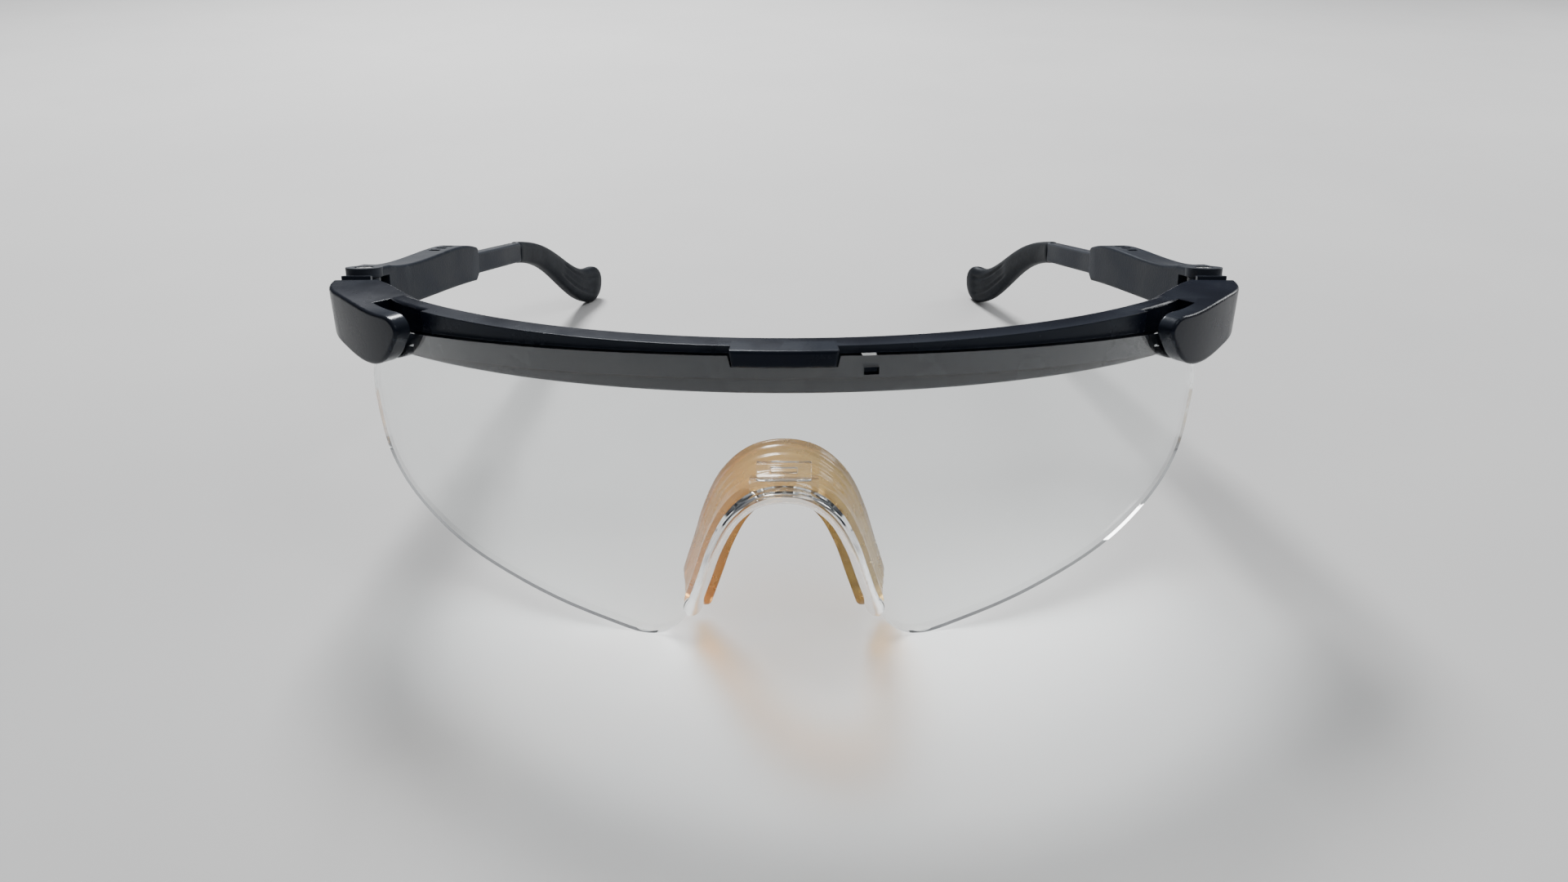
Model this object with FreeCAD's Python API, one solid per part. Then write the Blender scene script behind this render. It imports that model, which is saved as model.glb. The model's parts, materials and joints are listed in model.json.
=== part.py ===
"""Safety goggles: one clear wraparound lens, a clip-in nosepiece and folding temples of adjustable length.

The front is drawn round a vertical axis behind the lens. A point on it is given by s, the arc length
from the mid-plane along the lens's front, by z, the height above the middle of the lens's top edge, and
by its radius. Each temple is drawn in its own frame at its hinge: y runs back along the temple, z up the
hinge axis, x outward. The finished goggles are then leaned back until the lens's two lobes and the two
temple tips stand on the floor, with the origin on the floor under the middle of the whole.
"""

import FreeCAD, Part
import math
import os

from FreeCAD import Placement, Rotation, Vector

# ---------------------------------------------- driving dimensions, in millimetres and degrees
LENS_RADIUS = 92.0  # front surface, in plan
BULGE_RADIUS = 200.0  # front surface, in side view
BULGE_HEIGHT = -12.0  # height at which the lens stands furthest forward
LENS_THICKNESS = 2.2
TOP_BOW = 6.2  # fall of the top edge from the middle to TOP_SPAN
TOP_SPAN = 80.0
NOTCH_HALF_WIDTH = 7.6
NOTCH_DEPTH = 1.7
RIM_BAND = 3.9  # height of the thinned band along the top edge
BAND_THICKNESS = 1.45
LENS_FIT = 0.5  # gap behind the lens, so that it draws down out of the brow frame
FRONT_FIT = 0.25  # gap in front of the lens, inside the end pockets

BAR_DEPTH = 3.0
BAR_RISE = 1.0
BAR_BOW = 2.3  # fall of the bar's top from the middle to TOP_SPAN
BAR_DROP = 6.4
FOOT_BOW = 3.4
LOBE_DEPTH = 3.0
LOBE_STEP = 0.5  # how far a lobe stands out behind the bar
LOBE_END_Y = 40.5
LOBE_OUTER_X = 77.4
LOBE_INNER_X = 69.8

HINGE_X = 73.6
HINGE_Y = 44.8
HINGE_Z = -4.3
TEMPLE_SLOPE = 10.0  # fall of the temples below the lens's horizontal
TOE_IN = 8.0
KNUCKLE_RADIUS = 2.7
KNUCKLE_TOP = 2.6
KNUCKLE_BOTTOM = -2.5
EAR_RADIUS = 3.1
EAR_TOP = 4.3
EAR_BOTTOM = -3.7
SCREW_RADIUS = 0.8
SCREW_HEAD_RADIUS = 1.5
SCREW_HEAD_HEIGHT = 0.8
NUT_RADIUS = 1.5
RUNNING_GAP = 0.1

SLEEVE_LENGTH = 44.0
SLEEVE_HALF_WIDTH = 2.9
SLEEVE_END_TOP = 4.0
SLEEVE_DIP = 0.45  # the low stretch of the top line behind the hinge ear
SLEEVE_HUMP = 0.7  # the raised stretch of the top line over the click windows
SLEEVE_END_BOTTOM = -2.8
CAVITY_START = 9.0
ARM_FRONT = 14.0
ARM_HALF_WIDTH = 1.5
ARM_BOTTOM = -1.8
ARM_TOP = 2.6
DETENT_PITCH = 3.0
DETENT_COUNT = 4
DETENT_GROOVE = 0.5

TIP_START = 72.0
TIP_LENGTH = 42.0
TIP_DROP = 13.4
TIP_INWARD = 7.0
FLOOR_FLAT = 0.12  # how deep the standing points are flattened

CLIP_LIP = 1.2  # how far the nose clip stands proud of the lens
CLIP_GAP = 0.25
PAD_DEPTH = 8.5
PAD_FLARE = 2.6

PLAN_CENTRE = Vector(0, LENS_RADIUS, 0)
TRIM = 60.0  # half size of the blocks used for trimming

# The edge of the lens round its right end, from the top corner to the nose, as (s, z).
KNOB = [(80.0, -6.2), (82.4, -6.9), (83.8, -8.6), (82.8, -10.2)]
KNOB += [(79.8, -10.9), (77.9, -11.9), (78.4, -13.4), (79.2, -15.6), (79.6, -18.5)]
RIM = [(79.6, -18.5), (79.6, -24.0), (78.6, -29.2), (75.6, -33.2), (69.5, -37.2), (61.0, -40.9)]
RIM += [(50.0, -44.0), (38.0, -47.0), (29.0, -49.0), (24.2, -49.9), (20.6, -49.3), (17.8, -47.3)]
RIM += [(15.8, -44.4)]
NOSE_LEG_TOP = (11.2, -31.5)
NOSE_ARCH = [(8.3, -26.0), (4.5, -22.6), (0.0, -21.6)]


# ---------------------------------------------- drawing on the front's cylinder
def top_edge(s):
    """Height of the lens's top edge."""
    return -TOP_BOW * (s / TOP_SPAN) ** 2


def sampled(height, start, stop, count=7):
    """Points along height(s) from start to stop."""
    steps = [start + (stop - start) * i / (count - 1) for i in range(count)]
    return [(s, height(s)) for s in steps]


def mirrored(runs):
    """The same runs on the other side of the mid-plane, in the order that closes the outline."""
    return [[(-s, z) for s, z in reversed(run)] for run in reversed(runs)]


def run_on_surface(points, surface):
    """A straight or smooth run through (s, z) points, drawn on a vertical cylinder."""
    flat = [FreeCAD.Base.Vector2d(s, z) for s, z in points]
    if len(flat) == 2:
        return Part.Geom2d.Line2dSegment(*[on_wall(point) for point in flat]).toShape(surface)
    curve = Part.Geom2d.BSplineCurve2d()
    curve.interpolate(flat)
    for index, pole in enumerate(curve.getPoles(), start=1):
        curve.setPole(index, on_wall(pole))
    return curve.toShape(surface)


def on_wall(point):
    """The angle and height on a vertical cylinder of a point given by arc length and height."""
    return FreeCAD.Base.Vector2d(point.x / LENS_RADIUS - math.pi / 2, point.y)


def radial_block(runs, inner, outer):
    """The solid between two radii behind and in front of a closed outline of runs."""
    spare, low, height = 1.0, -80.0, 120.0
    surface = Part.Cylinder()
    surface.Radius = inner - spare
    surface.Center = PLAN_CENTRE
    wire = Part.Wire([run_on_surface(run, surface) for run in runs])
    column = Part.Face(surface, wire).makeOffsetShape(outer - inner + 2 * spare, 1e-4, fill=True)
    base = PLAN_CENTRE + Vector(0, 0, low)
    wall = Part.makeCylinder(outer, height, base).cut(Part.makeCylinder(inner, height, base))
    return wall.common(column)


def closed(points):
    """A straight-sided outline through (s, z) points."""
    return [[a, b] for a, b in zip(points, points[1:] + points[:1])]


def oblong(half_width, foot, top):
    """A rectangular outline astride the mid-plane."""
    return closed([(half_width, foot), (half_width, top), (-half_width, top), (-half_width, foot)])


def lens_shell(front, back):
    """A curved wall round the front's axis, between two depths behind the lens's front surface."""
    top, bottom = 8.0, -60.0
    centre_r = LENS_RADIUS - BULGE_RADIUS

    def arc(depth):
        radius = BULGE_RADIUS - depth
        heights = (top, BULGE_HEIGHT, bottom)
        reach = [centre_r + math.sqrt(radius**2 - (z - BULGE_HEIGHT) ** 2) for z in heights]
        ends = [Vector(0, LENS_RADIUS - r, z) for r, z in zip(reach, heights)]
        return Part.Arc(*ends).toShape(), ends[0], ends[2]

    front_arc, front_top, front_bottom = arc(front)
    back_arc, back_top, back_bottom = arc(back)
    sides = [Part.makeLine(front_bottom, back_bottom), Part.makeLine(back_top, front_top)]
    profile = Part.Face(Part.Wire(Part.__sortEdges__([front_arc, back_arc] + sides)))
    half_turn = 70.0
    profile.rotate(PLAN_CENTRE, Vector(0, 0, 1), -half_turn)
    return profile.revolve(PLAN_CENTRE, Vector(0, 0, 1), 2 * half_turn)


def wrapped(runs, front, back):
    """A wall that follows the lens's curve, cut to an outline of runs."""
    return lens_shell(front, back).common(radial_block(runs, LENS_RADIUS - 25, LENS_RADIUS + 12))


def rounded(shape, radius, wanted=lambda edge: True):
    """The shape with its wanted edges filleted."""
    edges = [edge for edge in shape.Edges if wanted(edge)]
    return shape.makeFillet(radius, edges)


def mirror_x(shape):
    return shape.mirror(Vector(0, 0, 0), Vector(1, 0, 0))


def block(x, y, z):
    """A box given by its (low, high) pair along each axis."""
    size = [high - low for low, high in (x, y, z)]
    return Part.makeBox(*size, Vector(x[0], y[0], z[0]))


# ---------------------------------------------- lens and nosepiece
def make_lens():
    top = sampled(top_edge, NOTCH_HALF_WIDTH + 0.4, TOP_SPAN)
    step = [(NOTCH_HALF_WIDTH, -NOTCH_DEPTH), top[0]]
    right = [step, top, KNOB, RIM, [RIM[-1], NOSE_LEG_TOP]]
    arch = [NOSE_LEG_TOP] + NOSE_ARCH + [(-s, z) for s, z in reversed(NOSE_ARCH[:-1])]
    arch.append((-NOSE_LEG_TOP[0], NOSE_LEG_TOP[1]))
    floor = [(-NOTCH_HALF_WIDTH, -NOTCH_DEPTH), (NOTCH_HALF_WIDTH, -NOTCH_DEPTH)]
    lens = wrapped(right + [arch] + mirrored(right) + [floor], 0, LENS_THICKNESS)

    # The band along the top is thinned from behind; a short jog near each end steps its lower line up.
    jog_start, jog_end, jog_rise = 64.5, 70.5, 1.5
    band_end = 86.0

    def ledge(s):
        return top_edge(s) - RIM_BAND

    lower = [sampled(ledge, 0, jog_start)]
    lower.append([lower[-1][-1], (jog_start, ledge(jog_start) + jog_rise)])
    lower.append([lower[-1][-1], (jog_end, ledge(jog_end) + jog_rise)])
    lower.append([lower[-1][-1], (jog_end, ledge(jog_end) - 0.4)])
    lower.append([lower[-1][-1], (band_end, ledge(band_end) - 0.4)])
    lower.append([lower[-1][-1], (band_end, 6.0)])
    lid = [(band_end, 6.0), (-band_end, 6.0)]
    band = radial_block(lower + [lid] + mirrored(lower), LENS_RADIUS - 8, LENS_RADIUS - BAND_THICKNESS)

    slot_s, slot_z, slot_half, slot_height = 12.4, -1.9, 1.1, 1.1
    left, right, low = slot_s - slot_half, slot_s + slot_half, slot_z - slot_height
    corners = [(left, slot_z), (left, low), (right, low), (right, slot_z)]
    slot = radial_block(closed(corners), LENS_RADIUS - 8, LENS_RADIUS + 4)
    return lens.cut(band).cut(slot)


def nose_runs(outward, inward, foot):
    """The inverted U between two offsets from the lens's nose edge, ending at height foot."""
    leg_top_s, leg_top_z = NOSE_LEG_TOP
    leg_lean = (RIM[-1][0] - leg_top_s) / (leg_top_z - RIM[-1][1])

    def side(offset):
        low = leg_top_s + (leg_top_z - foot) * leg_lean + offset
        return [(low, foot), (leg_top_s + offset, leg_top_z)]

    def arch(offset):
        right = [(leg_top_s + offset, leg_top_z)]
        for s, z in NOSE_ARCH:
            share = s / leg_top_s
            right.append((s + offset * share, z + offset * (1 - 0.45 * share)))
        return right + [(-s, z) for s, z in reversed(right[:-1])]

    outer = [side(outward), arch(outward), [(-s, z) for s, z in reversed(side(outward))]]
    inner = [side(inward), arch(inward), [(-s, z) for s, z in reversed(side(inward))]]
    inner = [list(reversed(run)) for run in reversed(inner)]
    left_foot = [outer[-1][-1], inner[0][0]]
    right_foot = [inner[-1][-1], outer[0][0]]
    return outer + [left_foot] + inner + [right_foot]


def make_nose_clip(lens):
    """The stiff clear rail that grips the lens's nose edge, with the tab behind the lens above it."""
    foot, lip, inset = -45.4, 1.0, -2.6
    back = LENS_THICKNESS + 1.6
    rail = wrapped(nose_runs(lip, inset, foot), -CLIP_LIP, back)
    bulbs = []
    bulb_s, bulb_radius, bulb_depth = 14.9, 2.3, 3.9
    for side in (1, -1):
        angle = side * bulb_s / LENS_RADIUS
        radius = LENS_RADIUS - bulb_depth
        centre = PLAN_CENTRE + Vector(radius * math.sin(angle), -radius * math.cos(angle), foot)
        bulbs.append(Part.makeSphere(bulb_radius, centre))
    behind, tab_foot = LENS_THICKNESS + CLIP_GAP, -22.4
    tab = wrapped(oblong(4.2, tab_foot, -17.2), behind, LENS_THICKNESS + 1.3)
    box = wrapped(oblong(5.3, tab_foot, -19.9), behind, LENS_THICKNESS + 2.0)
    window = radial_block(oblong(2.0, -18.9, -18.1), LENS_RADIUS - 10, LENS_RADIUS + 5)
    clip = rail.fuse(bulbs).fuse([tab.cut(window), box])
    groove = wrapped(nose_runs(lip + 3.0, -CLIP_GAP, foot - 6), -CLIP_GAP, LENS_THICKNESS + CLIP_GAP)
    return clip.cut(groove).cut(lens)


def make_nose_pad(clip):
    """The soft saddle behind the clip: an inverted U that flares outward as it runs back to the face."""
    foot = -44.6

    def hoop(depth, outward, inward):
        runs = nose_runs(outward, inward, foot)
        lean = 0.15

        def place(point):
            s, z = point
            return Vector(s, depth + (NOSE_ARCH[-1][1] - z) * lean, z)

        edges = []
        for run in runs:
            places = [place(point) for point in run]
            if len(places) == 2:
                edges.append(Part.makeLine(*places))
            else:
                curve = Part.BSplineCurve()
                curve.interpolate(places)
                edges.append(curve.toShape())
        return Part.Wire(edges)

    front, outward, inward = 3.5, 1.5, -3.1
    hoops = [
        hoop(front, outward, inward),
        hoop(front + PAD_DEPTH * 0.5, outward + PAD_FLARE * 0.35, inward + PAD_FLARE * 0.5),
        hoop(front + PAD_DEPTH, outward + PAD_FLARE, inward + PAD_FLARE * 1.3),
    ]
    return Part.makeLoft(hoops, True, False).cut(clip)


# ---------------------------------------------- brow frame
def make_brow_frame(tenon):
    """The bar behind the lens's top edge, the lug in its notch, and a pocket lobe over each end."""
    bar_front = LENS_RADIUS - LENS_THICKNESS - LENS_FIT
    bar_back = bar_front - BAR_DEPTH
    end = 84.0

    def bar_top(s):
        return BAR_RISE - BAR_BOW * (s / TOP_SPAN) ** 2

    def bar_foot(s):
        return -BAR_DROP - FOOT_BOW * (s / TOP_SPAN) ** 2

    top = sampled(bar_top, -end, end, 9)
    foot = sampled(bar_foot, end, -end, 9)
    bar = radial_block([top, [top[-1], foot[0]], foot, [foot[-1], top[0]]], bar_back, bar_front)
    bar = rounded(bar, 0.6, lambda edge: edge.Length > 2 * end * 0.9)

    # A rib fills the thinned band of the lens, and a lug stands through the notch in its top edge.
    rib_end = 62.6
    rib_top = sampled(bar_top, -rib_end, rib_end, 9)
    rib_foot = sampled(lambda s: top_edge(s) - RIM_BAND + 0.25, rib_end, -rib_end, 9)
    rib_runs = [rib_top, [rib_top[-1], rib_foot[0]], rib_foot, [rib_foot[-1], rib_top[0]]]
    rib_front = LENS_RADIUS - BAND_THICKNESS - 0.15
    rib = radial_block(rib_runs, bar_front - 1.0, rib_front)
    half, low = NOTCH_HALF_WIDTH - 0.25, -NOTCH_DEPTH + 0.2
    lug = radial_block(
        closed([(half, low), (half + 0.35, BAR_RISE), (-half - 0.35, BAR_RISE), (-half, low)]),
        bar_front - 1.0,
        LENS_RADIUS + 0.5,
    )
    lug = rounded(lug, 0.4, lambda edge: edge.BoundBox.YMax < PLAN_CENTRE.y - LENS_RADIUS + 1.2)
    lobe = make_lobe(bar_back, bar_front).cut(tenon)
    frame = bar.fuse([rib, lug, lobe, mirror_x(lobe)])
    return frame.removeSplitter()


def make_lobe(bar_back, bar_front):
    """The brow frame's right-hand end: a pocket for the lens's corner that ends square at the hinge."""
    face, back = LENS_RADIUS + LOBE_DEPTH, bar_back - LOBE_STEP
    start, turn = math.radians(36.0), math.radians(50.0)

    def on_plan(radius, angle):
        return PLAN_CENTRE + Vector(radius * math.sin(angle), -radius * math.cos(angle), 0)

    middle = (start + turn) / 2
    outer_arc = Part.Arc(*[on_plan(face, angle) for angle in (start, middle, turn)]).toShape()
    outer_end = Vector(LOBE_OUTER_X, LOBE_END_Y, 0)
    bend = Part.BSplineCurve()
    bend.interpolate(
        Points=[on_plan(face, turn), outer_end],
        InitialTangent=Vector(math.cos(turn), math.sin(turn), 0),
        FinalTangent=Vector(0, 1, 0),
    )
    inner_end = Vector(LOBE_INNER_X, LOBE_END_Y, 0)
    inner_arc = Part.Arc(*[on_plan(back, angle) for angle in (start, middle, turn)]).toShape()
    closing = [
        Part.makeLine(outer_end, inner_end),
        Part.makeLine(inner_end, on_plan(back, turn)),
        Part.makeLine(on_plan(back, start), on_plan(face, start)),
    ]
    plan = Part.Face(Part.Wire(Part.__sortEdges__([outer_arc, bend.toShape(), inner_arc] + closing)))
    plan.translate(Vector(0, 0, -TRIM))
    column = plan.extrude(Vector(0, 0, 2 * TRIM))

    tail, crown, tail_foot = 102.0, -0.9, -8.3
    loop = [(tail, crown), (88.0, crown), (76.0, crown), (68.0, -1.0), (64.2, -1.4), (63.3, -2.6)]
    loop += [(64.4, -5.0), (66.8, -7.8), (70.0, -9.8), (74.0, -10.6), (80.0, -10.2), (88.0, -8.9)]
    loop.append((tail, tail_foot))
    side_view = radial_block([loop, [loop[-1], loop[0]]], LENS_RADIUS - 25, LENS_RADIUS + 20)
    lobe = rounded(column.common(side_view), 0.5, lambda edge: edge.BoundBox.YMax < LOBE_END_Y - 0.5)

    # The pocket is open below, and open above as a slit as far as the roof.
    roof_start, pocket_end, roof_gap = 74.0, 84.4, 0.35
    inboard, above, below = 55.0, 8.0, -25.0
    ceiling = sampled(lambda s: top_edge(s) + roof_gap, pocket_end, roof_start, 4)
    corners = [ceiling[-1], (roof_start, above), (inboard, above), (inboard, below), (pocket_end, below)]
    corners.append(ceiling[0])
    pocket = [ceiling] + [[a, b] for a, b in zip(corners, corners[1:])]
    return lobe.cut(radial_block(pocket, bar_front, LENS_RADIUS + FRONT_FIT))


# ---------------------------------------------- hinge and temple, in the temple's own frame
def temple_placement():
    """Where the right-hand temple's frame sits on the front."""
    slope = Rotation(Vector(1, 0, 0), -TEMPLE_SLOPE)
    toe = Rotation(Vector(0, 0, 1), TOE_IN)
    return Placement(Vector(HINGE_X, HINGE_Y, HINGE_Z), slope.multiply(toe))


def make_hinge_block():
    """The knuckle and its web, drawn without the toe-in, with a tenon that is pressed into the lobe."""
    web_half, plate_half, tenon_half, tenon_back = 1.9, 2.5, 1.5, -7.0
    gap = HINGE_Y - LOBE_END_Y
    knuckle = Part.makeCylinder(KNUCKLE_RADIUS, KNUCKLE_TOP - KNUCKLE_BOTTOM, Vector(0, 0, KNUCKLE_BOTTOM))
    web = block((-web_half, web_half), (-gap, 0), (KNUCKLE_BOTTOM, KNUCKLE_TOP))
    plate = block((-plate_half, plate_half), (-gap, -gap + 1.0), (KNUCKLE_BOTTOM - 0.6, KNUCKLE_TOP + 0.6))
    tenon = block((-tenon_half, tenon_half), (tenon_back, -gap), (-1.8, 1.8))
    bore = Part.makeCylinder(SCREW_RADIUS + 0.05, TRIM, Vector(0, 0, -TRIM / 2))
    slope = Placement(Vector(HINGE_X, HINGE_Y, HINGE_Z), Rotation(Vector(1, 0, 0), -TEMPLE_SLOPE))
    hinge_block = knuckle.fuse([web, plate]).removeSplitter().fuse(tenon).cut(bore)
    hinge_block.Placement = slope
    lobe_end = block((0, 2 * TRIM), (LOBE_END_Y - TRIM, LOBE_END_Y), (-TRIM, TRIM))
    outside = hinge_block.cut(lobe_end)
    inside = hinge_block.common(lobe_end)
    return outside.fuse(inside).removeSplitter(), inside


def make_hinge_screw():
    """A cross-recessed screw, its head let into the top ear."""
    head_foot = EAR_TOP - SCREW_HEAD_HEIGHT
    head = Part.makeCylinder(SCREW_HEAD_RADIUS, SCREW_HEAD_HEIGHT - 0.1, Vector(0, 0, head_foot))
    head = rounded(head, 0.2, lambda edge: edge.BoundBox.ZMin > head_foot + 0.3)
    shank = Part.makeCylinder(SCREW_RADIUS, head_foot - EAR_BOTTOM, Vector(0, 0, EAR_BOTTOM))
    arm, depth, half = 0.95, 0.45, 0.17
    top = EAR_TOP
    cross = [
        block((-arm, arm), (-half, half), (top - 0.1 - depth, top)),
        block((-half, half), (-arm, arm), (top - 0.1 - depth, top)),
    ]
    return head.fuse(shank).cut(cross[0].fuse(cross[1]))


def make_hinge_nut():
    """The six-sided brass insert in the lower ear that the screw threads into."""
    angles = [math.radians(60 * i) for i in range(6)]
    corners = [Vector(NUT_RADIUS * math.cos(a), NUT_RADIUS * math.sin(a), EAR_BOTTOM) for a in angles]
    hexagon = Part.Face(Part.makePolygon(corners + corners[:1]))
    height = KNUCKLE_BOTTOM - RUNNING_GAP - EAR_BOTTOM
    thread = Part.makeCylinder(SCREW_RADIUS, TRIM, Vector(0, 0, -TRIM / 2))
    return hexagon.extrude(Vector(0, 0, height)).cut(thread)


def make_sleeve(screw, nut):
    """The temple's outer part: a fork round the hinge knuckle and a tube that the arm slides in."""
    body_start = KNUCKLE_RADIUS + 0.7
    bulge_y = SLEEVE_LENGTH - 15
    side = [
        Vector(0, 0, EAR_TOP),
        Vector(0, 4.5, EAR_TOP),
        Vector(0, 9, EAR_TOP - SLEEVE_DIP),
        Vector(0, 16, EAR_TOP - SLEEVE_DIP),
        Vector(0, bulge_y, SLEEVE_END_TOP + SLEEVE_HUMP),
        Vector(0, SLEEVE_LENGTH - 4, SLEEVE_END_TOP + SLEEVE_HUMP),
        Vector(0, SLEEVE_LENGTH, SLEEVE_END_TOP),
    ]
    crown = Part.BSplineCurve()
    crown.interpolate(side[1:])
    chamfer = 1.4
    heel_top = Vector(0, SLEEVE_LENGTH, SLEEVE_END_BOTTOM + chamfer)
    heel_foot = Vector(0, SLEEVE_LENGTH - chamfer, SLEEVE_END_BOTTOM)
    belly = Part.BSplineCurve()
    belly.interpolate(
        [
            heel_foot,
            Vector(0, SLEEVE_LENGTH * 0.6, SLEEVE_END_BOTTOM - 0.3),
            Vector(0, 12, EAR_BOTTOM + 0.1),
            Vector(0, 0, EAR_BOTTOM),
        ]
    )
    outline = Part.Wire(
        [
            Part.makeLine(side[0], side[1]),
            crown.toShape(),
            Part.makeLine(side[-1], heel_top),
            Part.makeLine(heel_top, heel_foot),
            belly.toShape(),
            Part.makeLine(Vector(0, 0, EAR_BOTTOM), side[0]),
        ]
    )
    bar = Part.Face(outline).extrude(Vector(2 * SLEEVE_HALF_WIDTH, 0, 0))
    bar.translate(Vector(-SLEEVE_HALF_WIDTH, 0, 0))
    ears = Part.makeCylinder(EAR_RADIUS, EAR_TOP - EAR_BOTTOM, Vector(0, 0, EAR_BOTTOM))
    body = rounded(bar, 0.6, lambda e: e.BoundBox.YLength > 1 or e.BoundBox.YMin > SLEEVE_LENGTH - 0.1)
    body = body.fuse(ears).removeSplitter()

    mouth_height = (KNUCKLE_BOTTOM - RUNNING_GAP, KNUCKLE_TOP + RUNNING_GAP)
    mouth = block((-TRIM, TRIM), (-TRIM, body_start), mouth_height)
    cavity = block(
        (-ARM_HALF_WIDTH - RUNNING_GAP, ARM_HALF_WIDTH + RUNNING_GAP),
        (CAVITY_START, SLEEVE_LENGTH + 1),
        (ARM_BOTTOM - RUNNING_GAP, ARM_TOP + RUNNING_GAP),
    )
    groove_half = 0.8
    groove = block(
        (-groove_half, groove_half),
        (CAVITY_START, SLEEVE_LENGTH + 1),
        (ARM_TOP, ARM_TOP + RUNNING_GAP + DETENT_GROOVE),
    )
    body = body.cut(mouth).cut(cavity.fuse(groove))
    window_half_width, window_half_length = 1.05, 0.75
    for index in range(DETENT_COUNT):
        y = detent_y() + (index - 1) * DETENT_PITCH
        window = block(
            (-window_half_width, window_half_width),
            (y - window_half_length, y + window_half_length),
            (ARM_TOP, EAR_TOP + 2),
        )
        body = body.cut(window)
    head_well = Part.makeCylinder(SCREW_HEAD_RADIUS + 0.1, TRIM, Vector(0, 0, EAR_TOP - SCREW_HEAD_HEIGHT))
    return body.cut(head_well).cut(screw).cut(nut)


def detent_y():
    """Where the arm's click nub stands at rest, under the second window."""
    return SLEEVE_LENGTH - 12.0


def arm_section(y, x, z, half_width, half_height, lean):
    """A rounded-rectangle section of the arm, square to its path in side view."""
    corner = min(half_width, half_height) * 0.55
    core = [(half_width, half_height - corner), (half_width - corner, half_height)]
    points = core + [(-a, b) for a, b in reversed(core)]
    points += [(-a, -b) for a, b in core] + [(a, -b) for a, b in reversed(core)]
    edges = []
    for index, (start, stop) in enumerate(zip(points, points[1:] + points[:1])):
        begin, finish = Vector(start[0], 0, start[1]), Vector(stop[0], 0, stop[1])
        if index % 2:
            edges.append(Part.makeLine(begin, finish))
        else:
            centre = Vector(
                math.copysign(half_width - corner, start[0] + stop[0]),
                0,
                math.copysign(half_height - corner, start[1] + stop[1]),
            )
            outward = (begin + finish) * 0.5 - centre
            middle = centre + outward.normalize() * corner
            edges.append(Part.Arc(begin, middle, finish).toShape())
    wire = Part.Wire(edges)
    wire.Placement = Placement(Vector(x, y, z), Rotation(Vector(1, 0, 0), -lean))
    return wire


def ear_path(t):
    """The middle line behind the temple's bend, from the tip's start (t = 0) to its end: y, x, z, lean."""
    y = TIP_START + TIP_LENGTH * t
    x = -TIP_INWARD * t**1.6
    drop_centre, drop, steepness = 0.56, TIP_DROP, 6.5
    rise, rise_start = 2.2, 0.7

    def fall(u):
        return 1 / (1 + math.exp(-steepness * (u - drop_centre)))

    span = fall(1) - fall(0)
    lift = max(0.0, (t - rise_start) / (1 - rise_start))
    z = (ARM_TOP + ARM_BOTTOM) / 2 - drop * (fall(t) - fall(0)) / span + rise * lift**2
    slope = drop * steepness * fall(t) * (1 - fall(t)) / span / TIP_LENGTH
    return y, x, z, math.degrees(math.atan(slope))


def make_temple_arm():
    """The temple's inner part: a bar that slides in the sleeve, with a slim core for the soft tip."""
    middle_z, half_height = (ARM_TOP + ARM_BOTTOM) / 2, (ARM_TOP - ARM_BOTTOM) / 2
    bar = block((-ARM_HALF_WIDTH, ARM_HALF_WIDTH), (ARM_FRONT, TIP_START), (ARM_BOTTOM, ARM_TOP))
    bar = rounded(bar, 0.5, lambda edge: edge.BoundBox.YLength > 1)
    nub = block((-0.6, 0.6), (detent_y() - 0.6, detent_y() + 0.6), (middle_z, ARM_TOP + 0.4))
    nub = rounded(nub, 0.25, lambda edge: edge.BoundBox.ZMin > ARM_TOP)
    sections = [arm_section(TIP_START, 0, middle_z, 0.9, half_height - 0.7, 0)]
    for t in (0.2, 0.4, 0.6, 0.8):
        y, x, z, lean = ear_path(t)
        sections.append(arm_section(y, x, z, 0.8, 1.0, lean))
    core = Part.makeLoft(sections, True, False)
    return bar.fuse([nub, core]).removeSplitter()


def make_temple_tip(arm):
    """The soft tip over the arm's core, widening into a flat paddle behind the ear."""
    sections = []
    round_start = 0.9
    for t in (0.0, 0.15, 0.3, 0.45, 0.6, 0.75, 0.84, round_start, 0.95, 0.98, 0.997):
        y, x, z, lean = ear_path(t)
        past = max(0.0, (t - round_start) / (1 - round_start))
        rounding = math.sqrt(1 - past**2)
        half_height = (2.5 + 2.9 * t**2.2) * rounding
        half_width = (1.75 + 0.35 * t) * (0.4 + 0.6 * rounding)
        sections.append(arm_section(y, x, z, half_width, half_height, lean))
    return Part.makeLoft(sections, True, False).cut(arm)


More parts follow.
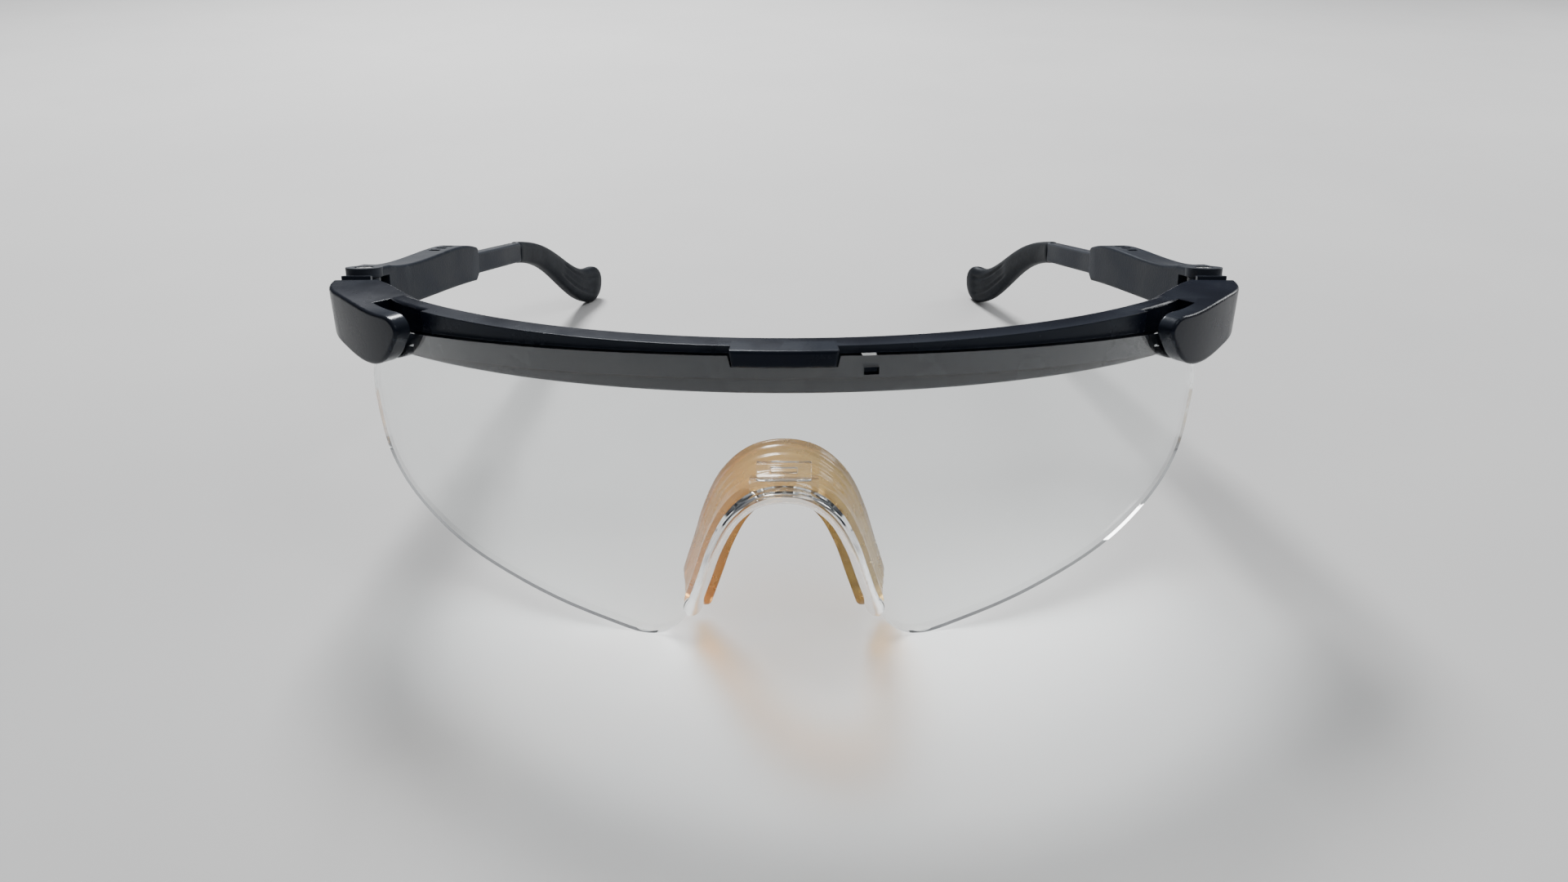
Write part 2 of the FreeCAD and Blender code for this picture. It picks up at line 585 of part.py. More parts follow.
# ---------------------------------------------- assembly
def stand_up(shapes):
    """Stands the goggles on their lens lobes and temple tips, with the floor's origin under their middle."""
    lens, tip = shapes["lens"], shapes["temple_tip_right"]

    def lowest(shape):
        mesh_points, _ = shape.tessellate(0.02)
        return min(mesh_points, key=lambda point: point.z)

    turn = Rotation()
    for _ in range(4):
        toe, heel = lowest(turned(lens, turn)), lowest(turned(tip, turn))
        angle = math.degrees(math.atan2(heel.z - toe.z, heel.y - toe.y))
        turn = Rotation(Vector(1, 0, 0), -angle).multiply(turn)
    toe = lowest(turned(lens, turn))
    depths = []
    for name in ("brow_frame", "lens", "nose_clip", "temple_tip_right"):
        mesh_points, _ = turned(shapes[name], turn).tessellate(0.05)
        depths += [point.y for point in mesh_points]
    middle = (min(depths) + max(depths)) / 2
    stand = Placement(Vector(0, -middle, -toe.z - FLOOR_FLAT), turn)
    floor = block((-2 * TRIM, 2 * TRIM), (-4 * TRIM, 4 * TRIM), (-TRIM, 0))
    placed = {}
    for name, shape in shapes.items():
        shape = shape.copy()
        shape.Placement = stand.multiply(shape.Placement)
        if shape.BoundBox.ZMin < 0:
            shape = shape.cut(floor)
        placed[name] = shape
    return placed, stand


def turned(shape, turn):
    shape = shape.copy()
    shape.Placement = Placement(Vector(), turn).multiply(shape.Placement)
    return shape


def main():
    lens = make_lens()
    clip = make_nose_clip(lens)
    shapes = {"lens": lens, "nose_clip": clip, "nose_pad": make_nose_pad(clip)}

    hinge_block, tenon = make_hinge_block()
    shapes["brow_frame"] = make_brow_frame(tenon)
    screw, nut, arm = make_hinge_screw(), make_hinge_nut(), make_temple_arm()
    temple = {
        "hinge_screw": screw,
        "hinge_nut": nut,
        "temple_sleeve": make_sleeve(screw, nut),
        "temple_arm": arm,
        "temple_tip": make_temple_tip(arm),
    }
    for shape in temple.values():
        shape.Placement = temple_placement()
    temple["hinge_block"] = hinge_block
    for name, shape in temple.items():
        shapes[name + "_right"] = shape
        shapes[name + "_left"] = mirror_x(shape)

    placed, stand = stand_up(shapes)
    os.makedirs("parts", exist_ok=True)
    for name, shape in placed.items():
        shape.exportStep(os.path.join("parts", name + ".step"))
        solids = [round(solid.Volume, 1) for solid in shape.Solids]
        print(name, "valid" if shape.isValid() else "INVALID", solids)
    axis = stand.Rotation.multiply(Rotation(Vector(1, 0, 0), -TEMPLE_SLOPE)).multVec(Vector(0, 0, 1))
    slide = stand.Rotation.multiply(temple_placement().Rotation).multVec(Vector(0, 1, 0))
    print("lean", stand.Rotation.Angle, "origin", stand.Base)
    print("hinge", stand.multVec(Vector(HINGE_X, HINGE_Y, HINGE_Z)), "axis", axis)
    print("arm slide", slide, "lens axis", stand.Rotation.multVec(Vector(0, 0, 1)))


main()
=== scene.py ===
import json
import math

import bpy
from mathutils import Matrix, Vector


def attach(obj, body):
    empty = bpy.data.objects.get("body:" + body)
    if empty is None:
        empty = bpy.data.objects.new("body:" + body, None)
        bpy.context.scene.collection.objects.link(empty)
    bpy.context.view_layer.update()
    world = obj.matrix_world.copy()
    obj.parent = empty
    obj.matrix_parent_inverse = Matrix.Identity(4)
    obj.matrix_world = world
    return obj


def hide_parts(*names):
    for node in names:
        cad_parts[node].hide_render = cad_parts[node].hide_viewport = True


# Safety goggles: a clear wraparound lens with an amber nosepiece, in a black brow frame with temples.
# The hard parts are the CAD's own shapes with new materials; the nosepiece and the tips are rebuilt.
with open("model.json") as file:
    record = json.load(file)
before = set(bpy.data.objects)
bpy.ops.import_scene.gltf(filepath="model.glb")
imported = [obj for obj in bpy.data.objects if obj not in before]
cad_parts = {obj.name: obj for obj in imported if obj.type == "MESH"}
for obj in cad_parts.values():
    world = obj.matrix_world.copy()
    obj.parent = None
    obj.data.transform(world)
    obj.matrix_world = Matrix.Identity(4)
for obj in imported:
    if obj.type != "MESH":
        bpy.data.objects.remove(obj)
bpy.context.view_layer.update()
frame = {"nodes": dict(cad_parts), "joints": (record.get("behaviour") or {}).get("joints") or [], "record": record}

# ---------------------------------------------- sizes shared with the frame, in millimetres
MM = 0.001
LENS_RADIUS = 92.0
LENS_THICKNESS = 2.2
BULGE_RADIUS = 200.0
BULGE_HEIGHT = -12.0
HINGE_IN_FRONT = Vector((73.6, 44.8, -4.3))  # the right-hand hinge in the front's own frame

# The lens's nose edge, from the middle of the arch down the right-hand leg, as (arc length, height).
NOSE_EDGE = [(0.0, -21.6), (4.5, -22.6), (8.3, -26.0), (11.2, -31.5), (13.5, -38.0), (15.8, -44.4)]
RAIL_FOOT_Z = -45.2
NOSE_STATIONS = 121
NOSE_LENGTH = 66.0  # along the nose edge, from foot to foot

TIP_START = 72.0
TIP_LENGTH = 42.0
TIP_DROP = 13.4
TIP_INWARD = 7.0
ARM_MIDDLE_Z = 0.4

COLD_SHEEN = (0.80, 0.89, 1.0, 1.0)  # tint of the highlights on the black parts
BLACK_GLOSS = 0.13  # strength of those highlights

# The colour sockets of a mix node.
MIX_A, MIX_B, MIX_RESULT = 6, 7, 2

joints = {joint["name"]: joint for joint in frame["joints"]}
mounts = {mount["name"]: mount for mount in frame["record"]["mounts"]}


# ---------------------------------------------- the front's and the temples' own frames
def axes_matrix(x, y, z, origin):
    """The matrix that takes millimetres along x, y, z from an origin in metres to the CAD's frame."""
    rotation = Matrix((x, y, z)).transposed().to_4x4()
    return Matrix.Translation(origin) @ rotation @ Matrix.Scale(MM, 4)


def front_matrix():
    """The front's frame: z up the lens, with its origin at the middle of the lens's top edge."""
    up = -Vector(joints["lens_release"]["axis"])
    across = Vector((1, 0, 0))
    turned = axes_matrix(across, up.cross(across), up, Vector())
    hinge = Vector(joints["temple_fold_right"]["pos_m"])
    return Matrix.Translation(hinge - turned @ HINGE_IN_FRONT) @ turned


def temple_matrix():
    """The right-hand temple's frame: y back along the temple, z up the hinge axis, x outward."""
    up = Vector(joints["temple_fold_right"]["axis"])
    back = Vector(joints["temple_length_right"]["axis"])
    return axes_matrix(back.cross(up), back, up, Vector(joints["temple_fold_right"]["pos_m"]))


FRONT = front_matrix()
TEMPLE = temple_matrix()


def on_lens(s, z, depth):
    """The point, in the CAD's frame, at arc length s, height z and a depth behind the lens's front."""
    sag = BULGE_RADIUS - math.sqrt(BULGE_RADIUS**2 - (z - BULGE_HEIGHT) ** 2)
    radius = LENS_RADIUS - sag - depth
    angle = s / LENS_RADIUS
    return FRONT @ Vector((radius * math.sin(angle), LENS_RADIUS - radius * math.cos(angle), z))


# ---------------------------------------------- mesh helpers
def make_object(name, points, faces, body, material, replaced):
    """A smooth-shaded piece that rides a body and stands in for a CAD node."""
    mesh = bpy.data.meshes.new(name)
    mesh.from_pydata(points, [], faces)
    mesh.validate()
    for polygon in mesh.polygons:
        polygon.use_smooth = True
    obj = bpy.data.objects.new(name, mesh)
    bpy.context.scene.collection.objects.link(obj)
    mesh.materials.append(material)
    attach(obj, body)
    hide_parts(replaced)
    return obj


def ring_faces(ring_count, ring_size, flip=False):
    """Quads between neighbouring closed rings, with an n-sided cap on each end."""
    faces = []
    for ring in range(ring_count - 1):
        for i in range(ring_size):
            j = (i + 1) % ring_size
            a, b = ring * ring_size, (ring + 1) * ring_size
            faces.append((a + i, a + j, b + j, b + i))
    faces.append(tuple(reversed(range(ring_size))))
    last = (ring_count - 1) * ring_size
    faces.append(tuple(range(last, last + ring_size)))
    return [tuple(reversed(face)) for face in faces] if flip else faces


def smooth(t):
    """An S-shaped rise from 0 to 1."""
    t = min(1.0, max(0.0, t))
    return t * t * (3 - 2 * t)


def spline_points(knots, count):
    """Evenly spaced points along a Catmull-Rom curve through the knots."""
    padded = [2 * Vector(knots[0]) - Vector(knots[1])]
    padded += [Vector(knot) for knot in knots]
    padded += [2 * Vector(knots[-1]) - Vector(knots[-2])]
    fine = []
    steps = 40
    for i in range(1, len(padded) - 2):
        p0, p1, p2, p3 = padded[i - 1 : i + 3]
        for k in range(steps):
            t = k / steps
            blend = 2 * p1 + (p2 - p0) * t + (2 * p0 - 5 * p1 + 4 * p2 - p3) * t**2
            blend += (3 * p1 - p0 - 3 * p2 + p3) * t**3
            fine.append(blend / 2)
    fine.append(padded[-2])
    reach = [0.0]
    for a, b in zip(fine, fine[1:]):
        reach.append(reach[-1] + (b - a).length)
    result, index = [], 0
    for k in range(count):
        wanted = reach[-1] * k / (count - 1)
        while index < len(reach) - 2 and reach[index + 1] < wanted:
            index += 1
        share = (wanted - reach[index]) / (reach[index + 1] - reach[index])
        result.append(fine[index].lerp(fine[index + 1], share))
    return result


# ---------------------------------------------- materials
class Paint:
    """A principled material and short calls for adding nodes to it."""

    def __init__(self, name):
        self.material = bpy.data.materials.new(name)
        self.material.use_nodes = True
        self.tree = self.material.node_tree
        self.shader = self.tree.nodes["Principled BSDF"]
        self.output = self.tree.nodes["Material Output"]
        self.place = self.add("ShaderNodeTexCoord").outputs["Object"]

    def add(self, kind, **settings):
        """A new node of that kind, with its settings."""
        node = self.tree.nodes.new(kind)
        for name, value in settings.items():
            setattr(node, name, value)
        return node

    def link(self, source, target):
        self.tree.links.new(source, target)

    def set(self, **values):
        """Fixed values for the shader's inputs, with _ for each space in their names."""
        for name, value in values.items():
            self.shader.inputs[name.replace("_", " ")].default_value = value

    def noise(self, scale, detail=4.0, roughness=0.55, stretch=None):
        """Cloudy values from 0 to 1; scale is in bumps per metre."""
        node = self.add("ShaderNodeTexNoise")
        node.inputs["Scale"].default_value = scale
        node.inputs["Detail"].default_value = detail
        node.inputs["Roughness"].default_value = roughness
        self.link(self.stretched(stretch), node.inputs["Vector"])
        return node.outputs["Fac"]

    def voronoi(self, scale):
        """Pits: the distance to the nearest of many scattered points."""
        node = self.add("ShaderNodeTexVoronoi", feature="F1")
        node.inputs["Scale"].default_value = scale
        self.link(self.place, node.inputs["Vector"])
        return node.outputs["Distance"]

    def stretched(self, stretch):
        """Object coordinates, scaled along each axis where a stretch is given."""
        if stretch is None:
            return self.place
        node = self.add("ShaderNodeMapping")
        node.inputs["Scale"].default_value = stretch
        self.link(self.place, node.inputs["Vector"])
        return node.outputs["Vector"]

    def ramp(self, fac, *stops):
        """Colours or values by position: each stop is (position, value or (r, g, b))."""
        node = self.add("ShaderNodeValToRGB")
        elements = node.color_ramp.elements
        while len(elements) < len(stops):
            elements.new(0.5)
        for element, (position, value) in zip(elements, stops):
            colour = value if isinstance(value, tuple) else (value,) * 3
            element.position = position
            element.color = (*colour, 1.0)
        self.link(fac, node.inputs["Fac"])
        return node.outputs["Color"]

    def mix(self, fac, a, b):
        """Blends two colour outputs or colours by fac."""
        node = self.add("ShaderNodeMix", data_type="RGBA")
        self.feed(fac, node.inputs["Factor"])
        self.feed(a, node.inputs[MIX_A])
        self.feed(b, node.inputs[MIX_B])
        return node.outputs[MIX_RESULT]

    def math(self, operation, *values):
        node = self.add("ShaderNodeMath", operation=operation)
        for value, socket in zip(values, node.inputs):
            self.feed(value, socket)
        return node.outputs[0]

    def feed(self, value, socket):
        """Links an output, or sets a colour or a number."""
        if isinstance(value, bpy.types.NodeSocket):
            self.link(value, socket)
        elif isinstance(value, tuple):
            socket.default_value = (*value, 1.0)
        else:
            socket.default_value = value

    def bump(self, height, distance, strength=1.0, below=None):
        """Relief of a depth in metres, on top of other normals where below gives them."""
        node = self.add("ShaderNodeBump")
        node.inputs["Distance"].default_value = distance
        node.inputs["Strength"].default_value = strength
        self.link(height, node.inputs["Height"])
        if below is not None:
            self.link(below, node.inputs["Normal"])
        self.link(node.outputs["Normal"], self.shader.inputs["Normal"])
        return node.outputs["Normal"]

    def rounded_edges(self, radius):
        """Normals that turn smoothly over every sharp edge."""
        node = self.add("ShaderNodeBevel", samples=6)
        node.inputs["Radius"].default_value = radius
        return node.outputs["Normal"]

    def edges(self):
        """How far a surface turns sharply outward: worn edges."""
        return self.add("ShaderNodeNewGeometry").outputs["Pointiness"]

    def facing(self):
        """0 where the surface faces the viewer, 1 where it is seen edge on."""
        return self.add("ShaderNodeLayerWeight").outputs["Facing"]

    def let_shadows_through(self, tint, edge_tint):
        """Light that passes the piece towards a lamp is only tinted, more so along the piece's edges."""
        clear = self.add("ShaderNodeBsdfTransparent")
        self.link(self.ramp(self.facing(), (0.55, tint), (0.95, edge_tint)), clear.inputs["Color"])
        mixer = self.add("ShaderNodeMixShader")
        self.link(self.add("ShaderNodeLightPath").outputs["Is Shadow Ray"], mixer.inputs[0])
        self.link(self.shader.outputs["BSDF"], mixer.inputs[1])
        self.link(clear.outputs["BSDF"], mixer.inputs[2])
        self.link(mixer.outputs["Shader"], self.output.inputs["Surface"])


def paint_clear(name, tint, ior, smear):
    """Clear plastic: faint finger smears in the gloss and hairline scratches."""
    paint = Paint(name)
    paint.set(Base_Color=(*tint, 1.0), IOR=ior, Transmission_Weight=1.0)
    smears = paint.noise(60.0, 5.0, 0.6)
    paint.link(paint.ramp(smears, (0.45, 0.005), (0.75, smear)), paint.shader.inputs["Roughness"])
    scratches = paint.noise(900.0, 2.0, 0.5, (1.0, 0.08, 0.3))
    paint.bump(paint.ramp(scratches, (0.62, 0.0), (0.7, 1.0)), 0.00001, 0.15)
    paint.let_shadows_through(tint=(0.90, 0.915, 0.92), edge_tint=(0.35, 0.37, 0.38))
    return paint.material


def paint_amber():
    """Soft amber silicone: peach on one side, olive towards the other, cloudy, and darkened by painted shade where
    seen edge on.
    """
    paint = Paint("amber_silicone")
    paint.set(IOR=1.41, Transmission_Weight=0.7, Specular_IOR_Level=0.25)
    split = paint.add("ShaderNodeSeparateXYZ")
    paint.link(paint.place, split.inputs["Vector"])
    per_metre, middle, cloudiness = 20.0, 0.5, 0.35
    across = paint.math("MULTIPLY_ADD", split.outputs["X"], per_metre, middle)
    cloud = paint.math("MULTIPLY_ADD", paint.noise(160.0, 4.0), cloudiness, across)
    peach = (0.78, 0.31, 0.09)
    honey = (0.62, 0.37, 0.10)
    olive = (0.40, 0.30, 0.09)
    # deep is the colour of painted shade, mixed in below where the silicone is seen edge on.
    deep = (0.28, 0.14, 0.035)
    colour = paint.ramp(cloud, (0.1, peach), (0.6, honey), (1.0, olive))
    # Painted shade: the colour darkens towards deep where the surface is seen edge on.
    edge_on_shade = paint.ramp(paint.facing(), (0.45, 0.0), (0.95, 0.75))
    paint.link(paint.mix(edge_on_shade, colour, deep), paint.shader.inputs["Base Color"])
    haze = paint.noise(420.0, 3.0)
    paint.link(paint.ramp(haze, (0.35, 0.12), (0.75, 0.34)), paint.shader.inputs["Roughness"])
    paint.bump(paint.noise(1500.0, 3.0), 0.00004, 0.4)
    paint.let_shadows_through(tint=(0.86, 0.66, 0.42), edge_tint=(0.5, 0.34, 0.16))
    return paint.material


def paint_nylon(name, colour, worn, roughness, grain, grain_depth):
    """Moulded black nylon with a cold sheen: a fine grain, cloudy gloss and edges rubbed lighter."""
    paint = Paint(name)
    paint.set(Specular_IOR_Level=BLACK_GLOSS, Specular_Tint=COLD_SHEEN)
    rubbed = paint.ramp(paint.edges(), (0.52, 0.0), (0.6, 1.0))
    cloud = paint.noise(90.0, 5.0)
    paler = tuple(1.6 * c for c in colour)
    base = paint.mix(paint.ramp(cloud, (0.35, 0.0), (0.8, 1.0)), colour, paler)
    paint.link(paint.mix(rubbed, base, worn), paint.shader.inputs["Base Color"])
    smooth_spots, rough_spots = roughness
    dullness = paint.ramp(cloud, (0.3, smooth_spots), (0.75, rough_spots))
    paint.link(dullness, paint.shader.inputs["Roughness"])
    fine = paint.voronoi(grain)
    coarse = paint.noise(grain * 0.4, 3.0)
    paint.bump(paint.math("ADD", fine, coarse), grain_depth, 0.5, paint.rounded_edges(0.0003))
    return paint.material


def paint_rubber():
    """Soft black rubber, dull and very finely pitted."""
    paint = Paint("soft_black_rubber")
    paint.set(Specular_IOR_Level=BLACK_GLOSS, Specular_Tint=COLD_SHEEN)
    dust = paint.noise(700.0, 6.0, 0.7)
    colour = paint.ramp(dust, (0.4, (0.004, 0.005, 0.007)), (0.8, (0.012, 0.014, 0.018)))
    paint.link(colour, paint.shader.inputs["Base Color"])
    paint.link(paint.ramp(paint.noise(120.0), (0.3, 0.42), (0.8, 0.6)), paint.shader.inputs["Roughness"])
    paint.bump(paint.noise(2600.0, 4.0), 0.00005, 0.5)
    return paint.material


def paint_metal(name, colour, roughness):
    """Bright metal with a fine drawn grain."""
    paint = Paint(name)
    paint.set(Metallic=1.0)
    lines = paint.noise(3000.0, 2.0, 0.5, (1.0, 0.05, 1.0))
    dark = tuple(0.7 * c for c in colour)
    paint.link(paint.mix(lines, dark, colour), paint.shader.inputs["Base Color"])
    dullness = paint.ramp(lines, (0.3, roughness), (0.8, roughness + 0.2))
    paint.link(dullness, paint.shader.inputs["Roughness"])
    paint.bump(lines, 0.00002, 0.4, paint.rounded_edges(0.0001))
    return paint.material


def paint_floor():
    """A matt pale table top with a barely visible mottle."""
    paint = Paint("pale_floor")
    paint.set(Specular_IOR_Level=0.2)
    cloud = paint.noise(6.0, 4.0)
    colour = paint.ramp(cloud, (0.3, (0.44, 0.44, 0.44)), (0.8, (0.49, 0.49, 0.485)))
    paint.link(colour, paint.shader.inputs["Base Color"])
    paint.link(paint.ramp(paint.noise(40.0), (0.3, 0.62), (0.8, 0.75)), paint.shader.inputs["Roughness"])
    return paint.material


LENS_CLEAR = paint_clear("clear_polycarbonate", (0.945, 0.965, 0.965), 1.58, 0.04)
CLIP_CLEAR = paint_clear("clear_clip_plastic", (0.96, 0.955, 0.93), 1.5, 0.08)
AMBER = paint_amber()
GLOSS_BLACK = paint_nylon(
    "gloss_black_nylon",
    colour=(0.003, 0.004, 0.008),
    worn=(0.014, 0.017, 0.024),
    roughness=(0.2, 0.32),
    grain=1800.0,
    grain_depth=0.000012,
)
MATT_BLACK = paint_nylon(
    "matt_black_nylon",
    colour=(0.005, 0.007, 0.012),
    worn=(0.02, 0.023, 0.03),
    roughness=(0.4, 0.55),
    grain=2600.0,
    grain_depth=0.00003,
)
RUBBER = paint_rubber()
STEEL = paint_metal("bright_steel", (0.78, 0.78, 0.77), 0.18)
BRASS = paint_metal("brass_insert", (0.8, 0.6, 0.28), 0.25)


def repaint(node, material):
    """Gives a CAD node that stays in view its material."""
    mesh = frame["nodes"][node].data
    mesh.materials.clear()
    mesh.materials.append(material)


# ---------------------------------------------- nosepiece
def nose_stations(count):
    """Points along the lens's nose edge from the left foot over the arch to the right foot, as (s, z), each
    with its outward direction, towards the lens."""
    foot_lean = 0.35
    foot_s = NOSE_EDGE[-1][0] + (NOSE_EDGE[-1][1] - RAIL_FOOT_Z) * foot_lean
    right = [Vector(point) for point in NOSE_EDGE] + [Vector((foot_s, RAIL_FOOT_Z))]
    knots = [Vector((-p.x, p.y)) for p in reversed(right[1:])] + right
    line = spline_points(knots, count)
    stations = []
    for i, point in enumerate(line):
        along = (line[min(i + 1, count - 1)] - line[max(i - 1, 0)]).normalized()
        stations.append((point, Vector((-along.y, along.x))))
    return stations


def end_distance(index):
    """Roughly how many millimetres a station is from the nearer foot."""
    return min(index, NOSE_STATIONS - 1 - index) * NOSE_LENGTH / (NOSE_STATIONS - 1)


def dome(distance, radius):
    """How far a round end of that radius has opened at a distance from its tip, 0 to 1."""
    return math.sqrt(max(0.0, 1 - max(0.0, 1 - distance / radius) ** 2))


def make_nose_rail():
    """The clear rail: a rounded channel that wraps the lens's edge and swells into a bulb on each foot."""
    size = 40
    gap, lip, core = 0.25, 1.0, 1.6
    half_depth, middle_depth = 2.45, 1.3
    bulb_place, bulb_reach, bulb_swell, bulb_slimming = 2.3, 2.6, 0.25, 0.12
    channel_start, channel_run, tip_radius, tip_end = 3.0, 2.0, 1.9, 0.03
    points = []
    for index, (place, outward) in enumerate(nose_stations(NOSE_STATIONS)):
        from_end = end_distance(index)
        bulb = smooth(1 - abs(from_end - bulb_place) / bulb_reach)
        channel = smooth((from_end - channel_start) / channel_run)
        opened = dome(from_end, tip_radius) * (1 - tip_end) + tip_end
        half_width = ((core + lip) / 2 + bulb_swell * bulb) * opened
        half_height = half_depth * (1 - bulb_slimming * bulb) * opened
        for k in range(size):
            angle = 2 * math.pi * k / size
            out = -(core - lip) / 2 - gap / 2 + half_width * math.cos(angle)
            depth = middle_depth + half_height * math.sin(angle)
            beside_lens = abs(depth - LENS_THICKNESS / 2) < LENS_THICKNESS / 2 + gap
            if beside_lens and math.cos(angle) > 0:
                out = out * (1 - channel) + min(out, -gap) * channel
            s, z = place + outward * out
            points.append(on_lens(s, z, depth))
    faces = ring_faces(NOSE_STATIONS, size)
    body, slot = "nosepiece", "clear_polycarbonate"
    make_object("nose_clip_rail", points, faces, body, CLIP_CLEAR, "nose_clip")


def saddle_ring():
    """The saddle's section as (outward, depth): its ribbed outer face, then its inner face back again."""
    steps, front, back = 22, 3.9, 12.0
    start, flare, rib_height, rib_count, rib_fade = 1.5, 2.6, 0.13, 5, 0.2
    back_thickness, extra_at_front, inner_offset = 3.4, 1.2, 0.25
    outer, inner = [], []
    for k in range(steps):
        t = k / (steps - 1)
        depth = front + (back - front) * t
        face = start + flare * t**1.5
        fade = smooth((t - rib_fade / 2) / rib_fade) * smooth((1 - t) / rib_fade)
        rib = rib_height * math.cos(2 * math.pi * rib_count * t) * fade
        outer.append((face + rib, depth))
        inner.append((face - back_thickness - extra_at_front * (1 - t), depth + inner_offset))
    return outer + inner[::-1]


def make_nose_pad():
    """The soft saddle: a flared U that runs back from the rail, with fine ribs along its outer face."""
    ring = saddle_ring()
    middle_out = sum(out for out, _ in ring) / len(ring)
    middle_depth = sum(depth for _, depth in ring) / len(ring)
    end_radius, least_width, least_depth, foot_run, foot_pull = 2.2, 0.25, 0.7, 12.0, 0.1
    points = []
    for index, (place, outward) in enumerate(nose_stations(NOSE_STATIONS)):
        from_end = end_distance(index)
        opened = dome(from_end, end_radius)
        width = least_width + (1 - least_width) * opened
        reach = least_depth + (1 - least_depth) * opened
        pull = 1 - foot_pull * (1 - smooth(from_end / foot_run))
        for out, depth in ring:
            s, z = place + outward * (middle_out + (out - middle_out) * width)
            points.append(on_lens(s, z, (middle_depth + (depth - middle_depth) * reach) * pull))
    faces = ring_faces(NOSE_STATIONS, len(ring), flip=True)
    make_object("nose_pad_saddle", points, faces, "nosepiece", AMBER, "nose_pad")


def plate_on_lens(name, outline, window, front_depth, back_depth):
    """A thin clear plate behind the lens; outline and window are each (half width, low, high)."""
    half, low, high = outline
    columns = [-half, half] if window is None else [-half, -window[0], window[0], half]
    rows = [low, high] if window is None else [low, window[1], window[2], high]
    points, faces, index = [], [], {}

    def corner(i, j, layer):
        key = (i, j, layer)
        if key not in index:
            index[key] = len(points)
            points.append(on_lens(columns[i], rows[j], (front_depth, back_depth)[layer]))
        return index[key]

    def filled(i, j):
        inside = 0 <= i < len(columns) - 1 and 0 <= j < len(rows) - 1
        return inside and not (window is not None and (i, j) == (1, 1))

    for i in range(len(columns) - 1):
        for j in range(len(rows) - 1):
            if not filled(i, j):
                continue
            a, b, c, d = (i, j), (i + 1, j), (i + 1, j + 1), (i, j + 1)
            faces.append(tuple(corner(*place, 0) for place in (a, b, c, d)))
            faces.append(tuple(corner(*place, 1) for place in (d, c, b, a)))
            sides = [((i, j - 1), a, b), ((i + 1, j), b, c), ((i, j + 1), c, d), ((i - 1, j), d, a)]
            for neighbour, start, stop in sides:
                if not filled(*neighbour):
                    faces.append((corner(*stop, 0), corner(*start, 0), corner(*start, 1), corner(*stop, 1)))
    body, slot = "nosepiece", "clear_polycarbonate"
    soften(make_object(name, points, faces, body, CLIP_CLEAR, "nose_clip"))


def soften(obj):
    """Rounds an object's sharp edges."""
    bevel = obj.modifiers.new("softened edges", "BEVEL")
    bevel.width = 0.22 * MM
    bevel.segments = 3
    bevel.limit_method = "ANGLE"
    bevel.angle_limit = math.radians(35)


def make_nose_tab():
    """The tab above the rail, with its slot window, and the wider box at its foot."""
    front = LENS_THICKNESS + 0.3
    plate_on_lens("nose_clip_tab", (4.2, -20.3, -17.2), (2.0, -18.9, -18.1), front, front + 1.0)
    plate_on_lens("nose_clip_box", (5.3, -22.3, -19.9), None, front, front + 1.7)


# ---------------------------------------------- temple tips
def ear_path(t):
    """Where the tip's middle line runs, in the temple's frame: y, x, z and its lean in side view."""
    drop_centre, steepness = 0.56, 6.5
    rise, rise_start = 2.2, 0.7

    def fall(u):
        return 1 / (1 + math.exp(-steepness * (u - drop_centre)))

    span = fall(1) - fall(0)
    lift = max(0.0, (t - rise_start) / (1 - rise_start))
    z = ARM_MIDDLE_Z - TIP_DROP * (fall(t) - fall(0)) / span + rise * lift**2
    slope = TIP_DROP * steepness * fall(t) * (1 - fall(t)) / span / TIP_LENGTH
    return TIP_START + TIP_LENGTH * t, -TIP_INWARD * t**1.6, z, math.atan(slope)


def groove(height):
    """How deep three sunk lines are at a height across the tip, -1 to 1, as a share of their full depth."""
    width = 0.085
    return sum(math.exp(-(((height - centre) / width) ** 2)) for centre in (-0.42, 0.0, 0.42))


def make_tip(side):
    """The soft tip: a sleeve over the arm's core that widens into a paddle, grooved on its inner face."""
    count, size, squareness = 90, 56, 0.72
    neck_height, paddle_gain, neck_width, width_gain = 2.5, 2.9, 1.75, 0.35
    collar_step, collar_run = 0.25, 0.02
    round_start, tail_end, tail_width, last_ring = 0.88, 0.03, 0.35, 0.999
    groove_start, groove_end, groove_run, groove_depth = 0.5, 0.93, 0.08, 0.5
    points = []
    for index in range(count):
        t = last_ring * (index / (count - 1))
        y, x, z, lean = ear_path(t)
        past = max(0.0, (t - round_start) / (1 - round_start))
        rounding = math.sqrt(max(0.0, 1 - past**2)) * (1 - tail_end) + tail_end
        collar = collar_step * (1 - smooth(t / collar_run))
        half_height = (neck_height + paddle_gain * t**2.2 - collar) * rounding
        half_width = (neck_width + width_gain * t - collar) * (tail_width + (1 - tail_width) * rounding)
        grooved = smooth((t - groove_start) / groove_run) * smooth((groove_end - t) / groove_run)
        for k in range(size):
            angle = 2 * math.pi * k / size
            across, up = math.cos(angle), math.sin(angle)
            inner_face = across < 0
            across = half_width * math.copysign(abs(across) ** squareness, across)
            up = half_height * math.copysign(abs(up) ** squareness, up)
            if inner_face:
                across += groove_depth * grooved * groove(up / half_height)
            place = TEMPLE @ Vector((x + across, y + up * math.sin(lean), z + up * math.cos(lean)))
            points.append(place if side == "right" else Vector((-place.x, place.y, place.z)))
    faces = ring_faces(count, size, flip=(side == "right"))
    name, body = "temple_tip_cover_" + side, "arm_" + side
    make_object(name, points, faces, body, RUBBER, "temple_tip_" + side)


